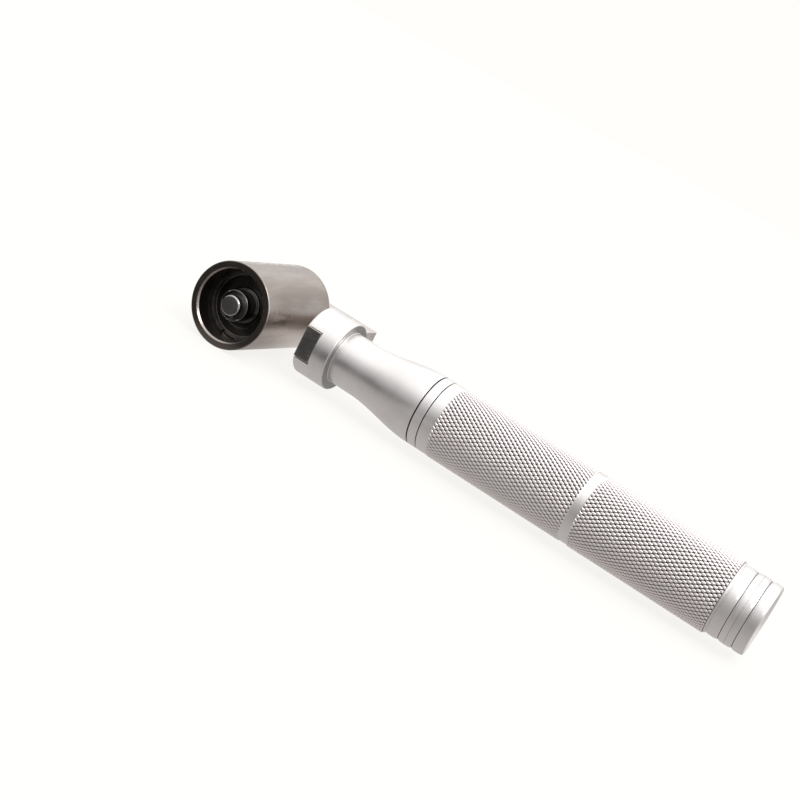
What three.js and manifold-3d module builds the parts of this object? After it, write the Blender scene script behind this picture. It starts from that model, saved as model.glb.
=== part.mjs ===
// Seam roller: a steel roller on two ball bearings, held from one side by an L-shaped bar
// that is screwed into the slotted head of a turned and knurled aluminium handle.
// Millimetres, +Z up. The roller turns about Y at the -X end and the handle runs to +X.
// Shapes are drawn about the roller's centre; the last lines move the tool onto its origin.
import * as THREE from 'three';
import { mergeVertices } from 'three/addons/utils/BufferGeometryUtils.js';
import Module from 'manifold-3d';

const wasm = await Module();
wasm.setup();

// ---- driving dimensions -------------------------------------------------------------

const rollerRadius = 15;
const rollerLength = 45;
const recessRadius = 12.2;
const mouthRadius = 12.9;
const rollerEdge = 0.5;

const bearingRadius = 12;
const bearingBore = 4;
const bearingWidth = 8;
const bearingInset = 9.3; // roller end to bearing face
const ballPitchRadius = 8;
const ballRadius = 2.38;
const ballCount = 7;
const cageInnerRadius = 7;
const cageOuterRadius = 9;
const cagePocketSpace = 0.24; // between a ball and its pocket
const raceRadius = 2.5;
const outerShoulderRadius = 9.9;
const innerShoulderRadius = 6.1;
const boreRingWidth = 1.1;
const boreRingDepth = 1.5; // across its section

const axleRadius = 4;
const axleTipRadius = 3.7;
const collarRadius = 5.45;
const sleeveRimInset = 2.6; // roller end to the sleeve's rim

const barWidth = 11.5;
const barThickness = 6;
const armGap = 4.7; // roller end to the arm
const armOverhang = 7.5; // roller axis to the arm's sawn end
const legStart = 23.7; // roller axis to the leg's front face
const turnedGap = 0.3; // space round the pieces that meet in the turned handle
const fitGap = 0.04; // space round the pieces that are pushed together

const headRadius = 12.6;
const headLength = 12.6;
const neckRadius = 9.5;
const neckLength = 8;
const shoulderRadius = 12.75;
const shoulderStart = 71;
const grooveWidth = 0.9;
const grooveDepth = 0.5;
const firstGroove = 71.8;
const neckJoint = 75.4;
const knurlStart = 79.7;
const knurlRadius = 13;
const bandStart = 131.6;
const bandEnd = 134.7;
const bandRadius = 12.7;
const knurlEnd = 184.5;
const capRadius = 12.2;
const capGrooves = [189.3, 194.1];
const handleEnd = 198;
const spigotRadius = 7;
const spigotLength = 18;

const screwHeadRadius = 5.25;
const screwHeadHeight = 3.3;
const screwRadius = 2.95;
const screwLength = 16;
const screwSocketFlats = 4;
const screwSocketDepth = 2.1;
const screwHoleRadius = 3.3;
const tappingDepth = 18; // from the handle's head into the neck

const nutFlats = 13;
const nutHeight = 4;

const wideSegments = 48;
const handleSegments = 40;
const bearingSegments = 28;

// ---- materials ----------------------------------------------------------------------

function metal(name, color, roughness) {
  return new THREE.MeshStandardMaterial({ name, color, roughness, metalness: 1 });
}

const rollerSteel = metal('roller_steel', 0xb9aca4, 0.32);
const bearingSteel = metal('bearing_steel', 0x8f9092, 0.25);
const springSteel = metal('spring_steel', 0x4a4744, 0.4);
const axleSteel = metal('axle_steel', 0xa9a6a2, 0.28);
const barSteel = metal('bar_steel', 0xdedede, 0.14);
const fastenerSteel = metal('fastener_steel', 0xa39b93, 0.2);
const handleAluminium = metal('handle_aluminium', 0xd9d8d9, 0.3);

// ---- shape helpers ------------------------------------------------------------------

// A turned piece about Y. Corners are [radius, height] pairs, anticlockwise, as on a drawing
// with the axis at the left. An outline that doesn't end on the axis closes on itself.
function turned(corners, segments) {
  const points = corners.map(([radius, height]) => new THREE.Vector2(radius, height));
  if (points[0].x > 0) {
    points.push(points[0].clone());
  }
  return new THREE.LatheGeometry(points, segments);
}

function toSolid(geometry) {
  const bare = new THREE.BufferGeometry();
  bare.setAttribute('position', geometry.getAttribute('position').clone());
  bare.setIndex(geometry.index);
  const welded = mergeVertices(bare, 1e-4);
  const index = welded.index.array;
  const corners = [];
  for (let i = 0; i < index.length; i += 3) {
    const [a, b, c] = index.subarray(i, i + 3);
    if (a !== b && b !== c && c !== a) {
      corners.push(a, b, c);
    }
  }
  return new wasm.Manifold(new wasm.Mesh({
    numProp: 3,
    vertProperties: new Float32Array(welded.getAttribute('position').array),
    triVerts: new Uint32Array(corners),
  }));
}

function toGeometry(solid) {
  const mesh = solid.getMesh();
  const geometry = new THREE.BufferGeometry();
  geometry.setAttribute('position', new THREE.BufferAttribute(new Float32Array(mesh.vertProperties), 3));
  geometry.setIndex(new THREE.BufferAttribute(new Uint32Array(mesh.triVerts), 1));
  geometry.computeVertexNormals();
  return geometry;
}

function named(name, geometry, material) {
  const mesh = new THREE.Mesh(geometry, material);
  mesh.name = name;
  return mesh;
}

// A flat plate along Y with its lower face at the given height.
function plateAlongY(shape, thickness, height, curveSegments) {
  const plate = new THREE.ExtrudeGeometry(shape, { depth: thickness, bevelEnabled: false, curveSegments });
  return plate.rotateX(Math.PI / 2).translate(0, height + thickness, 0);
}

function tubeCorners(inner, outer, low, high) {
  return [[inner, low], [outer, low], [outer, high], [inner, high]];
}

// A split ring seen along its axis: the gap is at the bottom, in degrees each side of it.
function splitRing(inner, outer, halfGap) {
  const start = THREE.MathUtils.degToRad(270 + halfGap);
  const end = THREE.MathUtils.degToRad(270 - halfGap + 360);
  const ring = new THREE.Shape();
  ring.absarc(0, 0, outer, start, end, false);
  ring.absarc(0, 0, inner, end, start, true);
  ring.closePath();
  return ring;
}

// ---- roller and its bearings --------------------------------------------------------

const rollerEndY = rollerLength / 2;
const bearingOuterY = rollerEndY - bearingInset;
const bearingInnerY = bearingOuterY - bearingWidth;
const boreRingY = bearingOuterY + 0.1;
const boreGrooveRadius = bearingRadius + 0.55;

// One end of the drum's outline, from the shoulder between the bearings out to the rim.
function drumEndCorners() {
  const seat = bearingRadius + fitGap;
  const shoulder = bearingRadius - 1.6;
  const grooveEnd = boreRingY + boreRingWidth + 0.1;
  const mouthDepth = mouthRadius - recessRadius;
  return [
    [shoulder, bearingInnerY - fitGap],
    [seat, bearingInnerY - fitGap],
    [seat, bearingOuterY],
    [boreGrooveRadius, bearingOuterY],
    [boreGrooveRadius, grooveEnd],
    [recessRadius, grooveEnd],
    [recessRadius, rollerEndY - mouthDepth],
    [mouthRadius, rollerEndY],
    [rollerRadius - rollerEdge, rollerEndY],
    [rollerRadius, rollerEndY - rollerEdge],
  ];
}

function drum() {
  const upper = drumEndCorners();
  const lower = upper.map(([radius, height]) => [radius, -height]);
  const outline = [...lower, ...upper.reverse()];
  return named('roller_drum', turned(outline, wideSegments), rollerSteel);
}

// The raceway's arc across a ring, on the side away from (+1) or near to (-1) the axis.
function raceCorners(side, shoulder, steps) {
  const half = Math.acos(Math.abs(shoulder - ballPitchRadius) / raceRadius);
  const corners = [];
  for (let i = 0; i <= steps; i += 1) {
    const angle = -half + (2 * half * i) / steps;
    corners.push([
      ballPitchRadius + side * raceRadius * Math.cos(angle),
      raceRadius * Math.sin(angle),
    ]);
  }
  return corners;
}

const raceSteps = 5;
const shieldRadius = 10.3;
const shieldThickness = 0.4;
const shieldInset = 0.2; // bearing face to the shield's outer side

function outerRing(name, centreY) {
  const half = bearingWidth / 2;
  const edge = 0.4;
  const seat = shieldRadius + 0.08;
  const step = half - shieldInset - shieldThickness - 0.1;
  const outline = [
    [seat, -half],
    [bearingRadius - edge, -half],
    [bearingRadius, -half + edge],
    [bearingRadius, half - edge],
    [bearingRadius - edge, half],
    [seat, half],
    [seat, step],
    [outerShoulderRadius, step],
    ...raceCorners(1, outerShoulderRadius, raceSteps).reverse(),
    [outerShoulderRadius, -step],
    [seat, -step],
  ];
  const ring = named(name, turned(outline, bearingSegments), bearingSteel);
  ring.position.y = centreY;
  return ring;
}

function innerRing(name, centreY) {
  const half = bearingWidth / 2;
  const bore = bearingBore + fitGap;
  const outline = [
    [bore, -half],
    [innerShoulderRadius, -half],
    ...raceCorners(-1, innerShoulderRadius, raceSteps),
    [innerShoulderRadius, half],
    [bore, half],
  ];
  const ring = named(name, turned(outline, bearingSegments), bearingSteel);
  ring.position.y = centreY;
  return ring;
}

function ballPlace(index) {
  const angle = (index / ballCount) * 2 * Math.PI;
  return new THREE.Vector3(ballPitchRadius * Math.cos(angle), 0, ballPitchRadius * Math.sin(angle));
}

// The cage's closed side faces the middle of the roller for side -1 and the rim for side +1.
function cage(name, centreY, side) {
  const pocket = ballRadius + cagePocketSpace;
  const backHeight = 3;
  const openHeight = 1.6;
  const outline = tubeCorners(cageInnerRadius, cageOuterRadius, -openHeight, backHeight);
  const band = turned(outline, bearingSegments);
  let body = toSolid(band);
  for (let i = 0; i < ballCount; i += 1) {
    const place = ballPlace(i);
    const hollow = new THREE.SphereGeometry(pocket, 10, 6).translate(place.x, place.y, place.z);
    body = body.subtract(toSolid(hollow));
  }
  const ring = named(name, toGeometry(body), springSteel);
  ring.rotation.z = side > 0 ? 0 : Math.PI;
  ring.position.y = centreY;
  return ring;
}

function balls(prefix, centreY, side) {
  const set = new THREE.Group();
  for (let i = 0; i < ballCount; i += 1) {
    const ball = named(`${prefix}_ball_${i + 1}`, new THREE.SphereGeometry(ballRadius, 10, 6), bearingSteel);
    ball.position.copy(ballPlace(i));
    set.add(ball);
  }
  set.rotation.z = side > 0 ? 0 : Math.PI;
  set.position.y = centreY;
  return set;
}

function shield(name, centreY, side) {
  const outer = bearingWidth / 2 - shieldInset;
  const outline = tubeCorners(innerShoulderRadius + 0.25, shieldRadius, outer - shieldThickness, outer);
  const plate = named(name, turned(outline, bearingSegments), bearingSteel);
  plate.rotation.x = side > 0 ? 0 : Math.PI;
  plate.position.y = centreY;
  return plate;
}

// The snap ring that keeps a bearing in the drum: a flat ring with a gap, open at the bottom.
function boreRing(name, side) {
  const outer = boreGrooveRadius - 0.06;
  const shape = splitRing(outer - boreRingDepth, outer, 14);
  const low = side > 0 ? boreRingY : -boreRingY - boreRingWidth;
  return named(name, plateAlongY(shape, boreRingWidth, low, 16), springSteel);
}

// One bearing with the ring that keeps it in: side -1 is the open end, +1 the arm's end.
function bearing(prefix, side) {
  const centreY = side * (bearingInnerY + bearingWidth / 2);
  const group = new THREE.Group();
  group.add(outerRing(`${prefix}_bearing_outer_ring`, centreY));
  group.add(innerRing(`${prefix}_bearing_inner_ring`, centreY));
  group.add(cage(`${prefix}_bearing_cage`, centreY, side));
  group.add(balls(`${prefix}_bearing`, centreY, side));
  group.add(shield(`${prefix}_bearing_front_shield`, centreY, side));
  group.add(shield(`${prefix}_bearing_back_shield`, centreY, -side));
  group.add(boreRing(`${prefix}_bore_retaining_ring`, side));
  return group;
}

// ---- axle and what is threaded onto it ----------------------------------------------

const armInnerY = rollerEndY + armGap;
const armOuterY = armInnerY + barThickness;
const flangeThickness = 3;
const sleeveRimY = -(rollerEndY - sleeveRimInset);
const sleeveFloorY = sleeveRimY + 1.6; // the floor of the sleeve's counterbore
const tipRingWidth = 0.8;
const nutY = armOuterY + fitGap;

function axle() {
  const edge = 0.5;
  const tipY = -(rollerEndY - 0.1);
  const ringY = sleeveFloorY - fitGap;
  const studRadius = axleRadius - 0.1;
  const studEnd = nutY + nutHeight + 1.4;
  const flangeY = armInnerY - fitGap;
  const flangeRadius = collarRadius + 0.8;
  const ringGrooveRadius = axleTipRadius - 0.45;
  const outline = [
    [0, tipY],
    [axleTipRadius - edge, tipY],
    [axleTipRadius, tipY + edge],
    [axleTipRadius, ringY - tipRingWidth - 0.05],
    [ringGrooveRadius, ringY - tipRingWidth - 0.05],
    [ringGrooveRadius, ringY],
    [axleRadius, ringY],
    [axleRadius, flangeY - flangeThickness],
    [flangeRadius, flangeY - flangeThickness],
    [flangeRadius, flangeY],
    [studRadius, flangeY],
    [studRadius, studEnd - edge],
    [studRadius - edge, studEnd],
    [0, studEnd],
  ];
  return named('axle', turned(outline, bearingSegments), axleSteel);
}

function openSideSleeve() {
  const bore = axleRadius + fitGap;
  const rimBore = collarRadius - 0.75;
  const edge = 0.25;
  const outline = [
    [bore, sleeveFloorY],
    [rimBore, sleeveFloorY],
    [rimBore, sleeveRimY + edge],
    [rimBore + edge, sleeveRimY],
    [collarRadius - edge, sleeveRimY],
    [collarRadius, sleeveRimY + edge],
    [collarRadius, -bearingOuterY - fitGap],
    [bore, -bearingOuterY - fitGap],
  ];
  return named('open_side_sleeve', turned(outline, bearingSegments), axleSteel);
}

function tube(name, outer, low, high) {
  return named(name, turned(tubeCorners(axleRadius + fitGap, outer, low, high), bearingSegments), axleSteel);
}

function innerRingSpacer() {
  return tube('inner_ring_spacer', innerShoulderRadius - 0.5, -bearingInnerY + fitGap, bearingInnerY - fitGap);
}

function armSideSleeve() {
  const low = bearingOuterY + fitGap;
  const high = armInnerY - flangeThickness - 2 * fitGap;
  return tube('arm_side_sleeve', collarRadius, low, high);
}

function axleTipRing() {
  const inner = axleTipRadius - 0.4;
  const shape = splitRing(inner, collarRadius - 0.9, 18);
  const low = sleeveFloorY - fitGap - tipRingWidth;
  return named('axle_tip_retaining_ring', plateAlongY(shape, tipRingWidth, low, 14), springSteel);
}

// A thin hexagon nut along Y, one flat upwards, with its corners turned off on both faces.
function nut() {
  const corner = nutFlats / Math.sqrt(3);
  const bevel = 0.8;
  const prism = new THREE.CylinderGeometry(corner, corner, nutHeight, 6);
  prism.rotateY(Math.PI / 6);
  const round = turned([
    [0, -nutHeight / 2],
    [nutFlats / 2 - 0.1, -nutHeight / 2],
    [corner + 0.1, -nutHeight / 2 + bevel],
    [corner + 0.1, nutHeight / 2 - bevel],
    [nutFlats / 2 - 0.1, nutHeight / 2],
    [0, nutHeight / 2],
  ], bearingSegments);
  const bore = new THREE.CylinderGeometry(axleRadius, axleRadius, nutHeight * 2, bearingSegments);
  const body = toSolid(prism).intersect(toSolid(round)).subtract(toSolid(bore));
  const piece = named('axle_nut', toGeometry(body), fastenerSteel);
  piece.position.y = nutY + nutHeight / 2;
  return piece;
}

// ---- bracket ------------------------------------------------------------------------

const legBack = legStart + barThickness;
const legEndY = -Math.sqrt(headRadius ** 2 - (barWidth / 2) ** 2);

function bracket() {
  const armLength = legBack + armOverhang;
  const arm = new THREE.BoxGeometry(armLength, barThickness, barWidth);
  arm.translate(legBack - armLength / 2, armInnerY + barThickness / 2, 0);
  const legLength = armOuterY - legEndY;
  const leg = new THREE.BoxGeometry(barThickness, legLength, barWidth);
  leg.translate(legStart + barThickness / 2, (armOuterY + legEndY) / 2, 0);
  const axleHole = new THREE.CylinderGeometry(axleRadius, axleRadius, barThickness * 3, bearingSegments);
  axleHole.translate(0, armInnerY, 0);
  const screwHole = new THREE.CylinderGeometry(screwHoleRadius, screwHoleRadius, barThickness * 3, 24);
  screwHole.rotateZ(Math.PI / 2).translate(legStart, 0, 0);
  const body = toSolid(arm).add(toSolid(leg)).subtract(toSolid(axleHole)).subtract(toSolid(screwHole));
  return named('bracket', toGeometry(body), barSteel);
}

// ---- handle, drawn along Y from the roller's axis and laid along +X by its group -----

function screw() {
  const seat = legStart - turnedGap;
  const domeRadius = (screwHeadRadius ** 2 + screwHeadHeight ** 2) / (2 * screwHeadHeight);
  const domeAngle = Math.asin(screwHeadRadius / domeRadius);
  const domeSteps = 5;
  const pointBevel = 0.8;
  const dome = [];
  for (let i = 0; i < domeSteps; i += 1) {
    const angle = (domeAngle * i) / domeSteps;
    dome.push([domeRadius * Math.sin(angle), seat - screwHeadHeight + domeRadius * (1 - Math.cos(angle))]);
  }
  const body = turned([
    ...dome,
    [screwHeadRadius, seat],
    [screwRadius, seat],
    [screwRadius, seat + screwLength - pointBevel],
    [screwRadius - pointBevel, seat + screwLength],
    [0, seat + screwLength],
  ], bearingSegments);
  const socketRadius = screwSocketFlats / Math.sqrt(3);
  const socket = new THREE.CylinderGeometry(socketRadius, socketRadius, screwSocketDepth * 2, 6);
  socket.translate(0, seat - screwHeadHeight, 0);
  return named('bracket_screw', toGeometry(toSolid(body).subtract(toSolid(socket))), fastenerSteel);
}

// The two corners and floor of a groove turned into a cylinder of the given radius.
function grooveCorners(radius, centre) {
  const half = grooveWidth / 2;
  return [
    [radius, centre - half],
    [radius - grooveDepth, centre - half + 0.2],
    [radius - grooveDepth, centre + half - 0.2],
    [radius, centre + half],
  ];
}

function flareCorners() {
  const start = legStart + headLength + neckLength;
  const steps = 10;
  const corners = [];
  for (let i = 0; i <= steps; i += 1) {
    const ease = (1 - Math.cos((Math.PI * i) / steps)) / 2;
    const height = start + ((shoulderStart - start) * i) / steps;
    corners.push([neckRadius + (shoulderRadius - neckRadius) * ease, height]);
  }
  return corners;
}

function neck() {
  const headBack = legStart + headLength;
  const edge = 0.4;
  const end = neckJoint - turnedGap / 2;
  const spigot = spigotRadius - turnedGap;
  const turning = turned([
    [0, legStart],
    [headRadius - edge, legStart],
    [headRadius, legStart + edge],
    [headRadius, headBack - edge],
    [headRadius - edge, headBack],
    [neckRadius, headBack],
    ...flareCorners(),
    ...grooveCorners(shoulderRadius, firstGroove),
    [shoulderRadius, end - grooveDepth],
    [shoulderRadius - grooveDepth, end],
    [spigot, end],
    [spigot, end + spigotLength],
    [0, end + spigotLength],
  ], handleSegments);
  const slotDepth = barThickness + turnedGap;
  const slot = new THREE.BoxGeometry(headRadius * 3, slotDepth * 2, barWidth + 2 * turnedGap);
  slot.translate(0, legStart, 0);
  const tappingRadius = screwRadius + turnedGap;
  const tapping = new THREE.CylinderGeometry(tappingRadius, tappingRadius, tappingDepth * 2, 24);
  tapping.translate(0, legStart, 0);
  const body = toSolid(turning).subtract(toSolid(slot)).subtract(toSolid(tapping));
  return named('handle_neck', toGeometry(body), handleAluminium);
}

// A knurled stretch, drawn at the height of its crests: it stands proud of what it starts
// from and ends in short bevels.
function knurlCorners(low, high, baseRadius) {
  const bevel = knurlRadius - baseRadius + 0.2;
  return [
    [baseRadius, low],
    [knurlRadius, low + bevel],
    [knurlRadius, high - bevel],
    [baseRadius, high],
  ];
}

function grip() {
  const start = neckJoint + turnedGap / 2;
  const end = knurlEnd - turnedGap / 2;
  const bore = spigotRadius;
  const boreDepth = spigotLength + 1.5;
  const outline = [
    [0, start + boreDepth],
    [bore, start + boreDepth],
    [bore, start],
    [shoulderRadius - grooveDepth, start],
    [shoulderRadius, start + grooveDepth],
    ...knurlCorners(knurlStart, bandStart, shoulderRadius),
    [bandRadius, bandStart],
    [bandRadius, bandEnd],
    ...knurlCorners(bandEnd, end, bandRadius),
    [bore, end],
    [bore, end - boreDepth],
    [0, end - boreDepth],
  ];
  return named('knurled_grip', turned(outline, handleSegments), handleAluminium);
}

function tailCap() {
  const start = knurlEnd + turnedGap / 2;
  const spigot = spigotRadius - turnedGap;
  const edge = 0.7;
  const outline = [
    [0, start - spigotLength],
    [spigot, start - spigotLength],
    [spigot, start],
    [capRadius, start],
    ...capGrooves.flatMap((centre) => grooveCorners(capRadius, centre)),
    [capRadius, handleEnd - edge],
    [capRadius - edge, handleEnd],
    [0, handleEnd],
  ];
  return named('tail_cap', turned(outline, handleSegments), handleAluminium);
}

// ---- assembly -----------------------------------------------------------------------

const handle = new THREE.Group();
handle.rotation.z = -Math.PI / 2;
handle.add(screw(), neck(), grip(), tailCap());

const head = new THREE.Group();
head.add(drum(), bearing('open_side', -1), bearing('arm_side', 1));
head.add(axle(), openSideSleeve(), innerRingSpacer(), armSideSleeve(), axleTipRing());
head.add(nut(), bracket());

// The origin is under the middle of the tool's box, on the surface that the roller rests on.
const seamRoller = new THREE.Group();
seamRoller.add(head, handle);
const extent = new THREE.Box3().setFromObject(seamRoller, true);
const middle = extent.getCenter(new THREE.Vector3());
seamRoller.position.set(-middle.x, -middle.y, rollerRadius);

export default seamRoller;
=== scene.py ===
import math

import bmesh
import bpy
from mathutils import Matrix, Vector


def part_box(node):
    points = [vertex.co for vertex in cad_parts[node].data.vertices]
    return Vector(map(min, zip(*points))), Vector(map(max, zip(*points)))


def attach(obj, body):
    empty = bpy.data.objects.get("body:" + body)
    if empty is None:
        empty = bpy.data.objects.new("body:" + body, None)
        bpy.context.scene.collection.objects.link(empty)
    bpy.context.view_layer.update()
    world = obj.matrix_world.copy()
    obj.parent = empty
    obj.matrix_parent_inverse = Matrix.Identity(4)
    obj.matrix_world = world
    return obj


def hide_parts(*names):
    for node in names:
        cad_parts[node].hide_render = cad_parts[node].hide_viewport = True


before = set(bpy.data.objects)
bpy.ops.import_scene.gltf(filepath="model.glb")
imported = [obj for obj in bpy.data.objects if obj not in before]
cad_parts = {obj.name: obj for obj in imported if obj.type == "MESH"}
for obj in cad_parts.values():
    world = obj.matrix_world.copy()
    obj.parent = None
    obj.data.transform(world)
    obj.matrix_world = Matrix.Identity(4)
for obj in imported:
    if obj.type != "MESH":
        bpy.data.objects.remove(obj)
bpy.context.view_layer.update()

# Seam roller: the looks. Each piece but the bearings' cages is rebuilt finely in place of its
# CAD node. Lengths are millimetres about the roller's centre, with +X to the handle, +Y to the
# arm and +Z up, and a mesh is scaled to metres when it is made.

drum_low, drum_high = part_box("roller_drum")
ORIGIN = (Vector(drum_low) + Vector(drum_high)) / 2
MM = 0.001
TAU = 2 * math.pi

# ---- dimensions, as in the CAD model where it has them ----------------------------------

ROLLER_RADIUS = 15
ROLLER_END = 22.5
RECESS_RADIUS = 12.2
MOUTH_RADIUS = 12.9

BEARING_RADIUS = 12
BEARING_HALF = 4
BEARING_BORE = 4.04
BEARING_OUTER = 13.2  # each bearing's two faces along the axle
BEARING_INNER = 5.2
BALL_PITCH = 8
BALL_RADIUS = 2.38
BALLS = 7
RACE_RADIUS = 2.5
OUTER_SHOULDER = 9.9
INNER_SHOULDER = 6.1
SHIELD_RADIUS = 10.3
SHIELD_FACE = 3.8
SHIELD_SHEET = 0.4
BEARING_SEAT = 12.04
SEAT_STOP = 5.16  # the drum's inner shoulders and the spacer end here
SEAT_BORE = 10.4
BORE_RING_LOW = 13.3
BORE_RING_WIDTH = 1.1
BORE_GROOVE = 12.55
GROOVE_LOW = 13.2
GROOVE_HIGH = 14.5

AXLE_RADIUS = 4
AXLE_TIP = -22.4
TIP_RADIUS = 3.7
TIP_GROOVE = (-19.19, -18.34)
TIP_GROOVE_DEPTH = 0.45
FLANGE = (24.16, 27.16)
FLANGE_RADIUS = 6.25
STUD_RADIUS = 3.9
THREAD_LOW = 33.6
THREAD_PITCH = 1.25
THREAD_DEPTH = 0.62
COLLAR_RADIUS = 5.45
SLEEVE_BORE = 4.04
SLEEVE_WALL = 0.75
SLEEVE_RIM = -19.9
SLEEVE_FLOOR = -18.3
SLEEVE_INNER_END = -13.24
ARM_SLEEVE = (13.24, 24.12)

ARM_LOW = 27.2
ARM_HIGH = 33.2
BAR_HALF = 5.75
LEG_LOW = 23.7
LEG_HIGH = 29.7
LEG_END = -11.21
AXLE_HOLE_RADIUS = 4.05
SCREW_HOLE_RADIUS = 3.3
ARM_END = -7.5
NUT_LOW = 33.24
NUT_HEIGHT = 4
NUT_FLATS = 13
STUD_END = 38.64

SLOT_GAP = 0.3
HEAD_RADIUS = 12.6
HEAD_LOW = 23.7
HEAD_HIGH = 36.3
NECK_RADIUS = 9.5
FLARE_LOW = 44.3
FLARE_HIGH = 71
SHOULDER_RADIUS = 12.75
NECK_GROOVE = 71.8
NECK_END = 75.25
GRIP_LOW = 75.55
KNURL_1 = (79.7, 131.6)  # the knurled stretches along the handle
KNURL_2 = (134.7, 184.35)
BAND_RADIUS = 12.7
CREST_RADIUS = 13
CAP_LOW = 184.65
CAP_RADIUS = 12.2
CAP_GROOVES = (189.3, 194.1)
CAP_LINE = 191.6  # a fine line round the middle ring
HANDLE_END = 198
GRIP_BORE = 7
GRIP_BORE_DEPTH = 19.5
SPIGOT_RADIUS = 6.7
SPIGOT_LENGTH = 18
TAPPED_RADIUS = 3.25
TAPPED_END = 41.7
SCREW_SEAT = 23.4
SCREW_RADIUS = 2.95
SCREW_LENGTH = 16
SCREW_HEAD_RADIUS = 5.25
SCREW_HEAD_HEIGHT = 3.3
SOCKET_FLATS = 4
SOCKET_DEPTH = 2.1

# ---- mesh helpers -----------------------------------------------------------------------


def along_y(radius, height, angle):
    """A point on a piece turned about the roller's axis."""
    return Vector((radius * math.cos(angle), height, radius * math.sin(angle)))


def along_x(radius, height, angle):
    """A point on a piece turned about the handle's axis."""
    return Vector((height, radius * math.cos(angle), radius * math.sin(angle)))


def rounded(corners, closed=True, steps=5):
    """An outline from (u, v) or (u, v, fillet) corners, with an arc at each corner that has a fillet."""
    points = []
    count = len(corners)
    for i, corner in enumerate(corners):
        here = Vector(corner[:2])
        fillet = corner[2] if len(corner) > 2 else 0
        if not fillet or (not closed and i in (0, count - 1)):
            points.append(here)
            continue
        before = Vector(corners[i - 1][:2]) - here
        after = Vector(corners[(i + 1) % count][:2]) - here
        half = before.angle(after) / 2
        reach = min(fillet / math.tan(half), 0.48 * before.length, 0.48 * after.length)
        radius = reach * math.tan(half)
        before.normalize()
        after.normalize()
        centre = here + (before + after).normalized() * (radius / math.sin(half))
        first = here + before * reach - centre
        last = here + after * reach - centre
        turn = first.angle_signed(last)
        for k in range(steps + 1):
            a = -turn * k / steps
            points.append(centre + Vector((
                first.x * math.cos(a) - first.y * math.sin(a),
                first.x * math.sin(a) + first.y * math.cos(a),
            )))
    return [(p.x, p.y) for p in points]


def loft(bm, rings, closed=False):
    """Faces between rings of equal length; a ring of one point closes into a fan."""
    made = [[bm.verts.new(p) for p in ring] for ring in rings]
    pairs = list(zip(made, made[1:]))
    if closed:
        pairs.append((made[-1], made[0]))
    for a, b in pairs:
        for k in range(max(len(a), len(b))):
            corners = []
            for v in (a[k % len(a)], a[(k + 1) % len(a)], b[(k + 1) % len(b)], b[k % len(b)]):
                if v not in corners:
                    corners.append(v)
            if len(corners) > 2:
                bm.faces.new(corners)
    return made


def to_mesh(bm, name, sharp=33):
    """The finished mesh in metres: welded, closed, smooth but for its sharp edges."""
    bmesh.ops.remove_doubles(bm, verts=bm.verts, dist=1e-4)
    bmesh.ops.recalc_face_normals(bm, faces=bm.faces)
    for face in bm.faces:
        face.smooth = True
    for edge in bm.edges:
        edge.smooth = edge.calc_face_angle(math.pi) < math.radians(sharp)
    bmesh.ops.scale(bm, vec=(MM, MM, MM), verts=bm.verts)
    mesh = bpy.data.meshes.new(name)
    bm.to_mesh(mesh)
    bm.free()
    return mesh


def turned(name, outline, segments, place):
    """A turned piece. The outline closes on itself unless it starts on the axis."""
    bm = bmesh.new()
    rings = []
    for radius, height in outline:
        if radius < 1e-6:
            rings.append([place(0, height, 0)])
        else:
            rings.append([place(radius, height, TAU * k / segments) for k in range(segments)])
    loft(bm, rings, closed=outline[0][0] > 1e-6)
    return to_mesh(bm, name)


def prism(name, section, low, high):
    """A closed prism along Y with an (x, z) section."""
    bm = bmesh.new()
    for ring in loft(bm, [[Vector((x, y, z)) for x, z in section] for y in (low, high)]):
        bm.faces.new(ring)
    return to_mesh(bm, name)


def drill(radius, low, high, point=0):
    """The outline of a drilled hole, with its point's length beyond it."""
    return [(0, low), (radius, low), (radius, high), (0, high + point)]


def tube(inner, outer, low, high, fillet):
    """The outline of a plain tube with rounded rims."""
    return rounded([
        (inner, low, fillet),
        (outer, low, fillet),
        (outer, high, fillet),
        (inner, high, fillet),
    ])


def offset(outline, distance):
    """A closed outline moved inwards by a distance, for the bevel of a plate."""
    moved = []
    count = len(outline)
    for i, (x, y) in enumerate(outline):
        ax, ay = outline[i - 1]
        bx, by = outline[(i + 1) % count]
        leaving = Vector((bx - x, by - y)).normalized()
        along = (Vector((x - ax, y - ay)).normalized() + leaving).normalized()
        reach = distance / along.dot(leaving)
        moved.append((x - along.y * reach, y + along.x * reach))
    return moved


def plate(bm, outline, low, high, bevel, place, steps=3):
    """A flat plate with bevelled rims, from an outline that runs anticlockwise."""
    rings = []
    for k in range(steps + 1):
        a = math.pi / 2 * k / steps
        rings.append((bevel * (1 - math.sin(a)), low + bevel * (1 - math.cos(a))))
    rings += [(inset, low + high - height) for inset, height in reversed(rings)]
    made = loft(bm, [
        [place(x, y, height) for x, y in offset(outline, inset)]
        for inset, height in rings
    ])
    for rim in (made[0], made[-1]):
        edges = [bm.edges.get((a, b)) for a, b in zip(rim, rim[1:] + rim[:1])]
        bmesh.ops.triangle_fill(bm, edges=edges, use_beauty=True, use_dissolve=False)


def hexagon(flats, angle):
    """The radius of a hexagon in a direction, with its corners just taken off."""
    turn = (angle + TAU / 12) % (TAU / 6) - TAU / 12
    return min(flats / 2 / math.cos(turn), flats / math.sqrt(3) - 0.06)


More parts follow.
